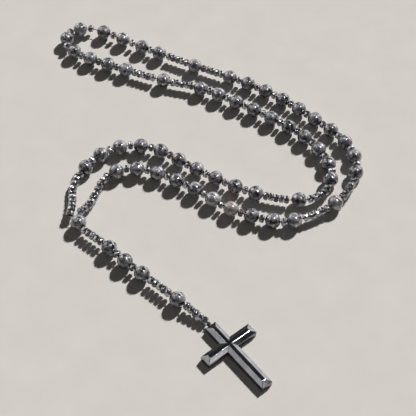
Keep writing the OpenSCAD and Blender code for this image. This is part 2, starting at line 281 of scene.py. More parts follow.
# %% Draw a route and mark it off
def smooth_curve(points):
    """A Catmull-Rom curve through 2-D points, cut into short straight steps."""
    made = []
    for i in range(len(points) - 1):
        a, b = points[max(i - 1, 0)], points[i]
        c, d = points[i + 1], points[min(i + 2, len(points) - 1)]
        for k in range(CURVE_STEPS):
            t = k / CURVE_STEPS
            made.append(0.5 * (2 * b + (c - a) * t + (2 * a - 5 * b + 4 * c - d) * t * t
                               + (3 * b - a - 3 * c + d) * t * t * t))
    return made + [points[-1]]


def run_along(points):
    """How far along the path each of its points is."""
    run = [0.0]
    for a, b in zip(points, points[1:]):
        run.append(run[-1] + (b - a).length)
    return run


def at_distance(points, run, s):
    k = min(max(bisect.bisect_right(run, s) - 1, 0), len(points) - 2)
    share = (s - run[k]) / (run[k + 1] - run[k])
    return points[k].lerp(points[k + 1], min(max(share, 0), 1))


def place_on(points, marks):
    """Marks at the same shares of a path's length as of the string's."""
    run = run_along(points)
    return [at_distance(points, run, m * run[-1] / marks[-1]) for m in marks]


# %% Fit the routes to the strung length
hole_way = Vector((math.cos(math.radians(CENTRE_BEAD_HEADING)), math.sin(math.radians(CENTRE_BEAD_HEADING))))
strand_side = Vector((-hole_way.y, hole_way.x))
strand_spread = strand_side * (SPACER_CORNER + STRAND_ROOM)
left_start = hole_way * (STONE_RADIUS + STRAND_LEADS[0]) + strand_spread
right_start = hole_way * (STONE_RADIUS + STRAND_LEADS[1]) - strand_spread
pendant_mouth = hole_way * (STONE_RADIUS + pendant_plays[0] / 2)


def loop_curve(k):
    return smooth_curve([left_start] + [Vector(p) * k for p in LOOP_ROUTE] + [right_start])


def pendant_curve(k):
    return smooth_curve([pendant_mouth, -pendant_mouth] + [Vector(p) * k for p in PENDANT_ROUTE])


def scaled_plan(curve_of, marks):
    """Gap places on a route that is scaled by the ratio of strung length to drawn length."""
    scale = marks[-1] / run_along(curve_of(1))[-1]
    return place_on(curve_of(scale), marks)


loop_plan = scaled_plan(loop_curve, gap_marks(loop_pieces, loop_plays))
pendant_plan = scaled_plan(pendant_curve, gap_marks(pendant_pieces, pendant_plays))
print("gaps placed:", len(loop_plan) + len(pendant_plan))

# %% [markdown]
# A stone rests on the table, so its hole is one radius up, and the spacers between stones hang clear.
# The two long runs have no stones in them and sag until their spacers all but touch the table. The
# origin is in the middle of the footprint, so the outermost stones and corners of the cross are found
# first.


# %% Heights above the table
def loop_height(i):
    """Stones lie on the table, and the two long runs sag to it between them."""
    sag = STONE_RADIUS - SPACER_CORNER - TABLE_GAP
    count = len(long_run)
    steps = i if i < count else i - RIGHT_RUN if i > RIGHT_RUN else 0
    return STONE_RADIUS - sag * math.sin(math.pi * steps / count) ** 2


LAST_RUN = len(pendant_pieces) - 1 - len(short_run)


def pendant_height(i):
    """The last run comes down from the stones to the hole in the cross."""
    if i == len(pendant_pieces):
        return CROSS_HOLE_HEIGHT
    down = max(i - LAST_RUN, 0) / len(short_run)
    return STONE_RADIUS + (RUN_END_HEIGHT - STONE_RADIUS) * down


# %% Find the middle of the lay
CROSS_HEIGHT, CROSS_WIDTH, CROSS_ARM, CROSS_DROP = 41.0, 29.0, 6.0, 13.5
cross_way = (pendant_plan[-1] - pendant_plan[-2]).normalized()
cross_side = Vector((-cross_way.y, cross_way.x))
cross_top = pendant_plan[-1] + cross_way * BEND_PLAY / 2
reach = [(plan[i] + plan[i + 1]) / 2 + Vector((e, e)) * STONE_RADIUS
         for plan, kinds in ((loop_plan, loop_pieces), (pendant_plan, pendant_pieces))
         for i, kind in enumerate(kinds) if kind == STONE for e in (-1, 1)]
reach += [cross_top + cross_way * along + cross_side * side * CROSS_ARM / 2
          for along in (0, CROSS_HEIGHT) for side in (-1, 1)]
reach += [cross_top + cross_way * (CROSS_DROP + along * CROSS_ARM / 2) + cross_side * side * CROSS_WIDTH / 2
          for along in (-1, 1) for side in (-1, 1)]
lay_middle = Vector([(min(p[k] for p in reach) + max(p[k] for p in reach)) / 2 for k in (0, 1)])


def seat(p, height):
    """A plan point and a height, in millimetres, as a place in metres in the frame."""
    return Vector((p.x - lay_middle.x, p.y - lay_middle.y, height)) * MM


loop_gaps = [seat(p, loop_height(i)) for i, p in enumerate(loop_plan)]
pendant_gaps = [seat(p, pendant_height(i)) for i, p in enumerate(pendant_plan)]
print("middle of the lay, in mm from the centre bead:", [round(v, 1) for v in lay_middle])


# %% Seat a piece on the thread
def on_thread(gaps, plays, kinds, i):
    """The matrix that takes a piece from its own axes, hole along Z, to its place on the thread."""
    a, b = gaps[i], gaps[i + 1]
    way = (b - a).normalized()
    before, after = plays[i] + LENGTHS[kinds[i]], plays[i + 1] + LENGTHS[kinds[i]]
    turn = Matrix.Rotation(math.atan2(way.y, way.x), 4, "Z") @ Matrix.Rotation(math.acos(way.z), 4, "Y")
    if kinds[i] == SPACER:
        turn = turn @ Matrix.Rotation(math.radians(SPACER_TURN_DEGREES * i), 4, "Z")
    return Matrix.Translation(a.lerp(b, before / (before + after))) @ turn


def loop_place(i):
    return on_thread(loop_gaps, loop_plays, loop_pieces, i)


def pendant_place(i):
    return on_thread(pendant_gaps, pendant_plays, pendant_pieces, i)


print("first stone of decade 1 in mm:", [round(v / MM, 1) for v in loop_place(decade_start(1)).translation])

# %% [markdown]
# ## Effects that several materials share
# A shader node group is a small machine with named inputs and outputs. Three are built here. *Crystals*
# gives the mottle of an igneous stone: plates of feldspar that each have their own brightness and
# grain direction, black mineral between them, and small flakes that flash. *Polish marks* gives the
# fine scratches and faint cloudiness of anything that was tumbled and buffed. *Dust* gathers on
# what faces up. They only put out numbers that vary over the surface; the shaders stay outside.

# %% A helper for node groups
GROUP_SOCKETS = {"vector": "NodeSocketVector", "value": "NodeSocketFloat", "colour": "NodeSocketColor"}


def start_group(name, inputs, outputs):
    """An empty shader node group with named sockets; gives the tree, its input node and its output node."""
    tree = bpy.data.node_groups.new(name, "ShaderNodeTree")
    for label, kind, default in inputs:
        socket = tree.interface.new_socket(name=label, in_out="INPUT", socket_type=GROUP_SOCKETS[kind])
        if default is not None:
            socket.default_value = default
    for label, kind in outputs:
        tree.interface.new_socket(name=label, in_out="OUTPUT", socket_type=GROUP_SOCKETS[kind])
    return tree, tree.nodes.new("NodeGroupInput"), tree.nodes.new("NodeGroupOutput")


def fill(tree, node, inputs):
    """Fills a node's inputs: another node's output is linked, anything else is set as a value."""
    for key, value in inputs.items():
        if isinstance(value, bpy.types.NodeSocket):
            tree.links.new(value, node.inputs[key])
        else:
            node.inputs[key].default_value = value
    return node


def add(tree, kind, inputs=None, **settings):
    """Adds a node, sets its properties and fills its inputs."""
    node = tree.nodes.new(kind)
    for key, value in settings.items():
        setattr(node, key, value)
    return fill(tree, node, inputs or {})


def maths(tree, operation, a, b=0.0):
    return add(tree, "ShaderNodeMath", {0: a, 1: b}, operation=operation).outputs[0]


def vector_maths(tree, operation, inputs):
    return add(tree, "ShaderNodeVectorMath", inputs, operation=operation).outputs[0]


def noise(tree, place, scale, detail, roughness=0.5):
    """Cloudy noise, with about as many clouds in a metre as the scale says."""
    return add(tree, "ShaderNodeTexNoise", {"Vector": place, "Scale": scale, "Detail": detail,
                                            "Roughness": roughness})


def span(tree, value, low, high, to_low=0.0, to_high=1.0):
    """Maps low..high smoothly to to_low..to_high."""
    node = add(tree, "ShaderNodeMapRange", {"Value": value, "From Min": low, "From Max": high,
                                            "To Min": to_low, "To Max": to_high},
               interpolation_type="SMOOTHSTEP")
    return node.outputs["Result"]


# %% Crystals
ONE_TURN = 6.28
WARP_SCALE, WARP_REACH = 620.0, 0.0016
GRAIN_AXIS, GRAIN_STRETCH, GRAIN_SCALE = (0.5, 0.3, 0.8), (1.0, 1.0, 6.0), 1000.0
BLACK_SCALE, BLACK_EDGE = 430.0, 0.09
FLAKE_SCALE, FLAKE_EDGE = 760.0, 0.18


def build_crystals():
    tree, given, out = start_group(
        "crystals",
        [("Vector", "vector", None), ("Plates per Metre", "value", 480.0), ("Black Share", "value", 0.5),
         ("Flake Share", "value", 0.35)],
        [("Shade", "value"), ("Black", "value"), ("Flake", "value")])
    place = given.outputs["Vector"]
    warp = noise(tree, place, WARP_SCALE, 2.0)
    centred = vector_maths(tree, "SUBTRACT", {0: warp.outputs["Color"], 1: (0.5, 0.5, 0.5)})
    pushed = vector_maths(tree, "SCALE", {0: centred, "Scale": WARP_REACH})
    bent = vector_maths(tree, "ADD", {0: place, 1: pushed})
    plates = add(tree, "ShaderNodeTexVoronoi", {"Vector": bent, "Scale": given.outputs["Plates per Metre"]})
    own = add(tree, "ShaderNodeSeparateColor", {"Color": plates.outputs["Color"]})
    angle = maths(tree, "MULTIPLY", own.outputs["Green"], ONE_TURN)
    turned = add(tree, "ShaderNodeVectorRotate", {"Vector": bent, "Axis": GRAIN_AXIS, "Angle": angle})
    drawn = add(tree, "ShaderNodeMapping", {"Vector": turned.outputs[0], "Scale": GRAIN_STRETCH})
    grain = noise(tree, drawn.outputs[0], GRAIN_SCALE, 4.0, 0.72)
    streaks = span(tree, grain.outputs["Fac"], 0.35, 0.68, -0.22, 0.3)
    shade = maths(tree, "ADD", maths(tree, "MULTIPLY", own.outputs["Red"], 0.55), streaks)
    dark = noise(tree, bent, BLACK_SCALE, 4.0, 0.6)
    edge = maths(tree, "SUBTRACT", 1.0, given.outputs["Black Share"])
    low = maths(tree, "ADD", maths(tree, "MULTIPLY", edge, 0.3), 0.36)
    black = span(tree, dark.outputs["Fac"], low, maths(tree, "ADD", low, BLACK_EDGE))
    small = add(tree, "ShaderNodeTexVoronoi", {"Vector": drawn.outputs[0], "Scale": FLAKE_SCALE})
    chance = add(tree, "ShaderNodeSeparateColor", {"Color": small.outputs["Color"]})
    limit = maths(tree, "SUBTRACT", 1.0, given.outputs["Flake Share"])
    flake = add(tree, "ShaderNodeMapRange", {"Value": chance.outputs["Blue"], "From Min": limit,
                                             "From Max": maths(tree, "ADD", limit, FLAKE_EDGE)})
    fill(tree, out, {"Shade": maths(tree, "ADD", shade, 0.2), "Black": black,
                     "Flake": flake.outputs["Result"]})
    return tree


# %% Polish marks and dust
def build_polish_marks():
    tree, given, out = start_group(
        "polish_marks", [("Vector", "vector", None), ("Marks per Metre", "value", 900.0)],
        [("Height", "value"), ("Haze", "value")])
    place = given.outputs["Vector"]
    drawn = add(tree, "ShaderNodeMapping", {"Vector": place, "Rotation": (0.4, 0.9, 0.3),
                                            "Scale": (1.0, 9.0, 1.0)})
    scratches = noise(tree, drawn.outputs[0], given.outputs["Marks per Metre"], 3.0)
    clouds = noise(tree, place, 260.0, 2.0)
    fill(tree, out, {"Height": scratches.outputs["Fac"],
                     "Haze": span(tree, clouds.outputs["Fac"], 0.35, 0.75)})
    return tree


def build_dust():
    tree, given, out = start_group("dust", [("Vector", "vector", None)], [("Dust", "value")])
    facing = add(tree, "ShaderNodeNewGeometry")
    up = add(tree, "ShaderNodeSeparateXYZ", {"Vector": facing.outputs["Normal"]})
    specks = noise(tree, given.outputs["Vector"], 3200.0, 1.0)
    loose = span(tree, specks.outputs["Fac"], 0.62, 0.72)
    fill(tree, out, {"Dust": maths(tree, "MULTIPLY", loose, span(tree, up.outputs["Z"], 0.1, 0.9))})
    return tree


crystals, polish_marks, dust = build_crystals(), build_polish_marks(), build_dust()
print("node groups:", [g.name for g in bpy.data.node_groups])

# %% [markdown]
# ## The four finishes
# *Larvikite* is a dark feldspar rock. Its plates are charcoal to silver grey with a blue cast, and
# its flakes throw light back like foil, so they are made half metal. The polish over it is like
# glass, which a coat layer gives. *Hematite* is an iron ore that takes a nearly black metallic
# mirror: a metal whose own colour is dark. The cross shows it plain and glossy. The spacers are
# brighter and duller, because cut hematite beads are coated. The *thread* is black twisted fibre
# with a soft sheen. Each finish puts the shared groups to work with its own values. Every bead is
# cut from another bit of rock, so the texture is read from a bead's own coordinates, stored on its mesh.

# %% Larvikite
def start_material(name):
    material = bpy.data.materials.new(name)
    material.use_nodes = True
    tree = material.node_tree
    return material, tree, tree.nodes["Principled BSDF"]


def use(tree, group, inputs):
    """Puts a shared node group to work in a material."""
    return add(tree, "ShaderNodeGroup", inputs, node_tree=group)


def bumped(tree, height, strength, depth):
    """The way the surface faces once a height map, that many metres deep, has dented it."""
    return add(tree, "ShaderNodeBump", {"Height": height, "Strength": strength, "Distance": depth}).outputs[0]


def blend_colour(tree, share, first, second):
    node = add(tree, "ShaderNodeMix", {"Factor": share}, data_type="RGBA")
    for socket, value in ((node.inputs[6], first), (node.inputs[7], second)):
        if isinstance(value, bpy.types.NodeSocket):
            tree.links.new(value, socket)
        else:
            socket.default_value = (*value, 1.0)
    return node.outputs[2]


CHARCOAL, SILVER_GREY, FLAKE_BLUE = (0.024, 0.023, 0.027), (0.50, 0.485, 0.525), (0.70, 0.69, 0.76)
BLACK_MINERAL, WARM_GREY = (0.012, 0.012, 0.014), (0.37, 0.325, 0.28)


def larvikite():
    material, tree, shader = start_material("larvikite")
    grain = add(tree, "ShaderNodeAttribute", attribute_name="grain").outputs["Vector"]
    tone = add(tree, "ShaderNodeAttribute", attribute_name="tone").outputs["Fac"]
    warm = add(tree, "ShaderNodeAttribute", attribute_name="warm").outputs["Fac"]
    rock = use(tree, crystals, {"Vector": grain, "Plates per Metre": 430.0, "Black Share": 0.6,
                                "Flake Share": 0.3})
    marks = use(tree, polish_marks, {"Vector": grain, "Marks per Metre": 1100.0})
    flake = rock.outputs["Flake"]
    colour = blend_colour(tree, maths(tree, "ADD", rock.outputs["Shade"], tone), CHARCOAL, SILVER_GREY)
    colour = blend_colour(tree, maths(tree, "MULTIPLY", warm, 0.9), colour, WARM_GREY)
    colour = blend_colour(tree, maths(tree, "MULTIPLY", flake, 0.45), colour, FLAKE_BLUE)
    hidden = maths(tree, "SUBTRACT", rock.outputs["Black"], maths(tree, "ADD", tone, warm))
    black_share = add(tree, "ShaderNodeClamp", {"Value": hidden}).outputs[0]
    fill(tree, shader, {
        "Base Color": blend_colour(tree, black_share, colour, BLACK_MINERAL),
        "Metallic": maths(tree, "MULTIPLY", flake, 0.8),
        "Roughness": span(tree, marks.outputs["Haze"], 0.0, 1.0, 0.22, 0.36),
        "Normal": bumped(tree, marks.outputs["Height"], 0.06, 0.0001),
        "IOR": 1.56,
        "Coat Weight": 1.0,
        "Coat Roughness": 0.05})
    return material


# %% Hematite and thread
HEMATITE, HEMATITE_HAZE = (0.21, 0.21, 0.225), (0.28, 0.28, 0.29)
COATED, COATED_HAZE = (0.36, 0.36, 0.38), (0.44, 0.44, 0.45)


THREAD_BLACK, FIBRE_GREY, DUST_GREY = (0.006, 0.006, 0.007), (0.03, 0.03, 0.032), (0.2, 0.19, 0.18)


def hematite(name, colour, haze, marks_per_metre, roughness_low, roughness_high):
    material, tree, shader = start_material(name)
    place = add(tree, "ShaderNodeTexCoord").outputs["Object"]
    marks = use(tree, polish_marks, {"Vector": place, "Marks per Metre": marks_per_metre})
    specks = use(tree, dust, {"Vector": place}).outputs["Dust"]
    polish = span(tree, marks.outputs["Haze"], 0.0, 1.0, roughness_low, roughness_high)
    fill(tree, shader, {
        "Base Color": blend_colour(tree, marks.outputs["Haze"], colour, haze),
        "Metallic": 1.0,
        "Roughness": maths(tree, "ADD", polish, maths(tree, "MULTIPLY", specks, 0.15)),
        "Normal": bumped(tree, marks.outputs["Height"], 0.05, 0.0001)})
    return material


def black_thread():
    material, tree, shader = start_material("black_thread")
    place = add(tree, "ShaderNodeTexCoord").outputs["Object"]
    fibres = noise(tree, place, 9000.0, 2.0).outputs["Fac"]
    specks = use(tree, dust, {"Vector": place}).outputs["Dust"]
    colour = blend_colour(tree, fibres, THREAD_BLACK, FIBRE_GREY)
    fill(tree, shader, {
        "Base Color": blend_colour(tree, maths(tree, "MULTIPLY", specks, 0.25), colour, DUST_GREY),
        "Roughness": 0.62,
        "Normal": bumped(tree, fibres, 0.4, 0.00005),
        "Sheen Weight": 0.3})
    return material


larvikite_finish = larvikite()
spacer_finish = hematite("faceted_hematite", COATED, COATED_HAZE, 1500.0, 0.12, 0.22)
cross_finish = hematite("cross_hematite", HEMATITE, HEMATITE_HAZE, 700.0, 0.03, 0.08)
thread_finish = black_thread()
print("finishes:", [m.name for m in (larvikite_finish, spacer_finish, cross_finish, thread_finish)])

# %% [markdown]
# ## The stone beads
# A round stone bead is ground from a cube, drilled and tumbled. Its drill hole ends in a tiny
# chamfer, because a sharp rim would cut the thread. A sphere primitive has neither hole nor chamfer, so
# the bead is turned like a pot: one profile, from the chamfer over the ball and back through the hole,
# is swept round the hole's axis. Every bead gets its own bit of rock by shifting and turning the
# coordinates that its texture is read from.

# %% Turn one bead from a profile
BEAD_SIDES = 40
BALL_STEPS = 24
HOLE_RADIUS = 0.6
CHAMFER_RADIUS = 0.88
CHAMFER_STEPS = [(0.12, 0.02), (0.02, 0.1), (0, 0.25)]


def turned(profile, sides):
    """Vertices and faces of a closed profile of (radius, height) swept round Z."""
    verts = [Vector((r * math.cos(2 * math.pi * k / sides), r * math.sin(2 * math.pi * k / sides), z))
             for r, z in profile for k in range(sides)]
    count = len(profile)
    faces = [(i * sides + k, i * sides + (k + 1) % sides,
              (i + 1) % count * sides + (k + 1) % sides, (i + 1) % count * sides + k)
             for i in range(count) for k in range(sides)]
    return verts, faces


def bead_profile():
    first = math.asin(CHAMFER_RADIUS / STONE_RADIUS)
    ball = [(STONE_RADIUS * math.sin(a), -STONE_RADIUS * math.cos(a))
            for a in (first + (math.pi - 2 * first) * k / BALL_STEPS for k in range(BALL_STEPS + 1))]
    rim = STONE_RADIUS * math.cos(first)
    chamfer = [(HOLE_RADIUS + outward, rim - down) for outward, down in CHAMFER_STEPS]
    return ball + chamfer + [(r, -z) for r, z in reversed(chamfer)]


BEAD_VERTS, BEAD_FACES = turned(bead_profile(), BEAD_SIDES)
print("one bead:", len(BEAD_VERTS), "points,", len(BEAD_FACES), "faces")

# %% [markdown]
# Which stones are paler? The photograph shows a few: a silvery one between the third and fourth
# decades, a warm grey one and a light one in the fifth, and some more. Their image points are cast as
# rays at the plain CAD stones, and the bead that each ray meets is remembered.

# %% Find the paler stones
PALE_STONES = {
    "silver_grey": (193.0, 66.3, 0.22, 0.0),
    "warm_grey": (228.2, 208.9, 0.2, 1.0),
    "light_beside_it": (209.5, 199.8, 0.2, 0.2),
    "light_by_the_long_run": (114.1, 171.8, 0.14, 0.0),
    "light_in_the_second": (318.1, 148.3, 0.1, 0.05),
    "light_at_the_end": (292.6, 219.9, 0.1, 0.0),
    "light_our_father": (332.5, 205.0, 0.08, 0.1),
    "light_centre": (78.6, 222.4, 0.1, 0.0),
    "dark_last": (248.2, 216.0, -0.14, 0.0),
    "dark_in_the_third": (67.4, 38.5, -0.1, 0.0),
}

loop_stones = {("loop", i): loop_place(i) for i, kind in enumerate(loop_pieces) if kind == STONE}
pendant_stones = {("pendant", i): pendant_place(i) for i, kind in enumerate(pendant_pieces) if kind == STONE}
stones = {**loop_stones, **pendant_stones}


def tree_of(objects):
    verts, faces = [], []
    for o in objects:
        faces += [[len(verts) + v for v in p.vertices] for p in o.data.polygons]
        verts += [o.matrix_world @ v.co for v in o.data.vertices]
    return BVHTree.FromPolygons(verts, faces)


stone_tree = tree_of([o for name, o in frame["nodes"].items()
                      if "stones" in name or "our_father" in name and "spacers" not in name
                      or name == "centre_bead" or "hail_mary" in name])
stone_middles = {key: place.translation.copy() for key, place in stones.items()}
stone_tones = {}
for label, (x, y, tone, warm) in PALE_STONES.items():
    met = place_at(x, y, stone_tree, list(stone_middles.values()))
    nearest = min(stone_middles, key=lambda key: (stone_middles[key] - met).length)
    stone_tones[nearest] = (tone, warm)
    print(label, "is", nearest)

# %% [markdown]
# Some decades are five or ten beads in one CAD node, so one object holds them too. The helper below
# repeats a template mesh at each place and writes three values on every point: where it is in its own
# bead's bit of rock, how pale that bead is, and how warm.

# %% String the stones
SEED_STEP = 7919
TONE_SPREAD = 0.1
BODY_OF = {node: body for body, nodes in frame["record"]["behaviour"]["bodies"].items() for node in nodes}
PENDANT_STONES = {"centre_bead": 0, "pendant_hail_mary_1": 6, "pendant_hail_mary_2": 8,
                  "pendant_hail_mary_3": 10, "pendant_our_father": 16}


def make_smooth(mesh):
    mesh.polygons.foreach_set("use_smooth", [True] * len(mesh.polygons))


def repeated(name, template, places, material, node, tones=None):
    """One object that repeats a template mesh, rides on a body and stands for a CAD node."""
    verts, faces = template
    body = BODY_OF[node]
    mesh = bpy.data.meshes.new(name)
    all_verts = [(place @ (v * MM)) for place in places for v in verts]
    all_faces = [tuple(i * len(verts) + v for v in face) for i in range(len(places)) for face in faces]
    mesh.from_pydata(all_verts, [], all_faces)
    mesh.materials.append(material)
    if tones is not None:
        grain, tone_values, warm_values = [], [], []
        for place, (tone, warm) in zip(places, tones):
            across, along = (round(v * 1e6) for v in place.translation.xy)
            chance = random.Random(across * SEED_STEP + along)
            spin = Quaternion([chance.gauss(0, 1) for _ in range(4)])
            spin.normalize()
            shift = Vector([chance.random() for _ in range(3)])
            for v in verts:
                grain += list(spin @ (v * MM) + shift)
            tone_values += [tone + chance.uniform(-TONE_SPREAD, TONE_SPREAD)] * len(verts)
            warm_values += [warm] * len(verts)
        mesh.attributes.new("grain", "FLOAT_VECTOR", "POINT").data.foreach_set("vector", grain)
        mesh.attributes.new("tone", "FLOAT", "POINT").data.foreach_set("value", tone_values)
        mesh.attributes.new("warm", "FLOAT", "POINT").data.foreach_set("value", warm_values)
    made = put_in_scene(name, mesh)
    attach(made, body)
    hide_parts(node)
    return made


def string_stones(node, keys):
    tones = [stone_tones.get(key, (0.0, 0.0)) for key in keys]
    made = repeated(node + "_beads", (BEAD_VERTS, BEAD_FACES), [stones[key] for key in keys],
                    larvikite_finish, node, tones)
    make_smooth(made.data)
    return made


stone_objects = {}
for n in range(1, 6):
    keys = [("loop", decade_start(n) + 2 * k) for k in range(10)]
    stone_objects[f"decade_{n}_stones"] = string_stones(f"decade_{n}_stones", keys)
for n in range(1, 5):
    stone_objects[f"our_father_{n}"] = string_stones(f"our_father_{n}", [("loop", our_father(n))])
for node, i in PENDANT_STONES.items():
    stone_objects[node] = string_stones(node, [("pendant", i)])
print("stone beads strung:", sum(len(o.data.vertices) for o in stone_objects.values()) // len(BEAD_VERTS))

# %% [markdown]
# ## The faceted spacers
# The small beads between the stones are cut with eight facets in each of two rows, and a narrow band
# between them. What sells a cut bead is its edges: a polisher's wheel always leaves them a little
# round, and a thin bright line of light runs along each. So the template is built flat-faced first, as
# rings of eight corners, and then only its outer edges are bevelled by a few hundredths of a
# millimetre. Tumbling also domes such small facets, so each one catches the lamps from more than one
# side. Bending the mesh would cost many points, so only the directions that it shades with lean out.

# %% Cut one spacer
FACETS = 8
SPACER_EDGE = 0.07
SPACER_END_RADIUS, BAND_HEIGHT = 1.5, 1.2
HALF_LENGTH = LENGTHS[SPACER] / 2
SPACER_RINGS = [(SPACER_END_RADIUS, -HALF_LENGTH), (SPACER_RADIUS, -BAND_HEIGHT / 2),
                (SPACER_RADIUS, BAND_HEIGHT / 2), (SPACER_END_RADIUS, HALF_LENGTH)]
HOLE_SIDES = 2 * FACETS


def ring(work, radius, z, sides):
    """A ring of points, turned so that a facet's edge starts it."""
    angles = [2 * math.pi * k / sides + math.pi / FACETS for k in range(sides)]
    return [work.verts.new((radius * math.cos(a), radius * math.sin(a), z)) for a in angles]


def cut_spacer():
    work = bmesh.new()
    corner = 1 / math.cos(math.pi / FACETS)
    rings = [ring(work, r * corner, z, FACETS) for r, z in SPACER_RINGS]
    bottom, top = [ring(work, HOLE_RADIUS, z, HOLE_SIDES) for z in (-HALF_LENGTH, HALF_LENGTH)]
    for k in range(FACETS):
        j = (k + 1) % FACETS
        for low, high in zip(rings, rings[1:]):
            work.faces.new((low[k], low[j], high[j], high[k]))
        near, far = 2 * k, (2 * k + 2) % HOLE_SIDES
        work.faces.new((rings[0][j], rings[0][k], bottom[near], bottom[near + 1], bottom[far]))
        work.faces.new((rings[-1][k], rings[-1][j], top[far], top[near + 1], top[near]))
    for k in range(HOLE_SIDES):
        j = (k + 1) % HOLE_SIDES
        work.faces.new((bottom[j], bottom[k], top[k], top[j]))
    outside = [e for e in work.edges if all(v.co.xy.length > HOLE_RADIUS + SPACER_EDGE for v in e.verts)]
    bmesh.ops.bevel(work, geom=outside, offset=SPACER_EDGE, segments=2, profile=0.5, affect="EDGES")
    bmesh.ops.recalc_face_normals(work, faces=work.faces)
    work.verts.ensure_lookup_table()
    verts = [v.co.copy() for v in work.verts]
    faces = [tuple(v.index for v in f.verts) for f in work.faces]
    work.free()
    return verts, faces


def keep_facets_flat(mesh, doming=0.0):
    """Every point faces the way of the largest facet that it belongs to, or leans out from it.

    With a doming of 0 each facet is flat, and with 1 the piece is shaded as if it were round.
    """
    ways = [Vector() for _ in mesh.vertices]
    for face in mesh.polygons:
        for v in face.vertices:
            ways[v] += face.normal * face.area ** 2
    make_smooth(mesh)
    mesh.normals_split_custom_set_from_vertices(
        [way.normalized().lerp(v.normal, doming) for way, v in zip(ways, mesh.vertices)])


SPACER_DOMING = 0.8
SPACER_VERTS, SPACER_FACES = cut_spacer()
print("one spacer:", len(SPACER_VERTS), "points,", len(SPACER_FACES), "faces")


def string_spacers(node, places):
    made = repeated(node + "_cut", (SPACER_VERTS, SPACER_FACES), places, spacer_finish, node)
    keep_facets_flat(made.data, SPACER_DOMING)


# %% String the spacers
spacer_runs = {"left_run_spacers": [loop_place(i) for i in range(10)],
               "right_run_spacers": [loop_place(RIGHT_RUN + i) for i in range(10)],
               "loose_spacer": [loop_place(LOOSE)]}
for n in range(1, 6):
    spacer_runs[f"decade_{n}_spacers"] = [loop_place(decade_start(n) + 2 * k + 1) for k in range(9)
                                          if decade_start(n) + 2 * k + 1 != LOOSE]
for n in range(1, 5):
    spacer_runs[f"spacers_before_our_father_{n}"] = [loop_place(our_father(n) - 5 + k) for k in range(5)]
    spacer_runs[f"spacers_after_our_father_{n}"] = [loop_place(our_father(n) + 1 + k) for k in range(5)]
for node, first, last in (("pendant_spacers_1", 1, 5), ("pendant_spacer_2", 7, 7),
                          ("pendant_spacer_3", 9, 9), ("pendant_spacers_4", 11, 15),
                          ("pendant_spacers_5", 17, 21)):
    spacer_runs[node] = [pendant_place(i) for i in range(first, last + 1)]
for node, places in spacer_runs.items():
    string_spacers(node, places)
print("spacers strung:", sum(len(places) for places in spacer_runs.values()))

# %% [markdown]
# ## One thread through everything
# A rosary is strung on a single thread. It starts in the cross, comes up through the pendant and the
# centre bead, goes round the loop, back through the centre bead, and down beside itself to the cross.
# So one path is laid out first, and is rounded a little at each gap, because a thread doesn't bend
# like wire. Only then is it cut where two moving bodies meet. The short pieces over the joints are
# made as objects of their own.

# %% Lay out the whole thread
THREAD_STEP = 0.2
ROUNDING = 2
CROSS_THREAD_DEPTH = 7.5
PLY_TURN = 2 * math.pi / 1.7
PLY_SIDES = 12


def level_side(way):
    return Vector((0, 0, 1)).cross(way).normalized()


def point_way(points, k):
    """Which way the thread runs at a point: midway between the ways before and after it."""
    near = points[max(k - 1, 0):k + 2]
    return sum([(b - a).normalized() for a, b in zip(near, near[1:])], Vector()).normalized()


def pendant_strand(side):
    """Points of one strand from the foot of the centre bead to its end in the cross."""
    points = pendant_gaps[1:]
    way = Vector((cross_way.x, cross_way.y, 0))
    points = points + [points[-1] + way * (BEND_PLAY / 2 + CROSS_THREAD_DEPTH) * MM]
    return [p + level_side(point_way(points, k)) * STRAND_OFFSET * MM * side for k, p in enumerate(points)]


bead_way = (pendant_gaps[1] - pendant_gaps[0]).normalized()
thread_points, thread_labels = [], []
for side in (-1, 1):
    strand = pendant_strand(side) if side == 1 else list(reversed(pendant_strand(side)))
    labels = [("pendant", side, i) for i in range(1, len(strand) + 1)]
    mouth = pendant_gaps[0] + level_side(bead_way) * STRAND_OFFSET * MM * side
    if side == -1:
        thread_points += strand + [mouth] + loop_gaps
        thread_labels += list(reversed(labels)) + ["mouth"] + [("loop", i) for i in range(len(loop_gaps))]
    else:
        thread_points += [mouth] + strand
        thread_labels += ["mouth"] + labels

raw_run = run_along(thread_points)
samples = int(raw_run[-1] / (THREAD_STEP * MM))
raw = [at_distance(thread_points, raw_run, raw_run[-1] * k / samples) for k in range(samples + 1)]
neighbours = [raw[max(k - ROUNDING, 0):k + ROUNDING + 1] for k in range(samples + 1)]
whole_thread = [sum(near, Vector()) / len(near) for near in neighbours]
thread_mark = {label: raw_run[k] for k, label in enumerate(thread_labels) if label != "mouth"}
print("the thread is", round(raw_run[-1] * 1000), "mm long, in", samples, "steps")

# %% [markdown]
# The thread is three plies twisted together, so its cross-section is a soft clover that turns along
# the way. `plied` sweeps that clover along any path, and carries its axes from step to step so that
# they never flip.

# %% A three-ply sweep
PLY_DEPTH = 0.14


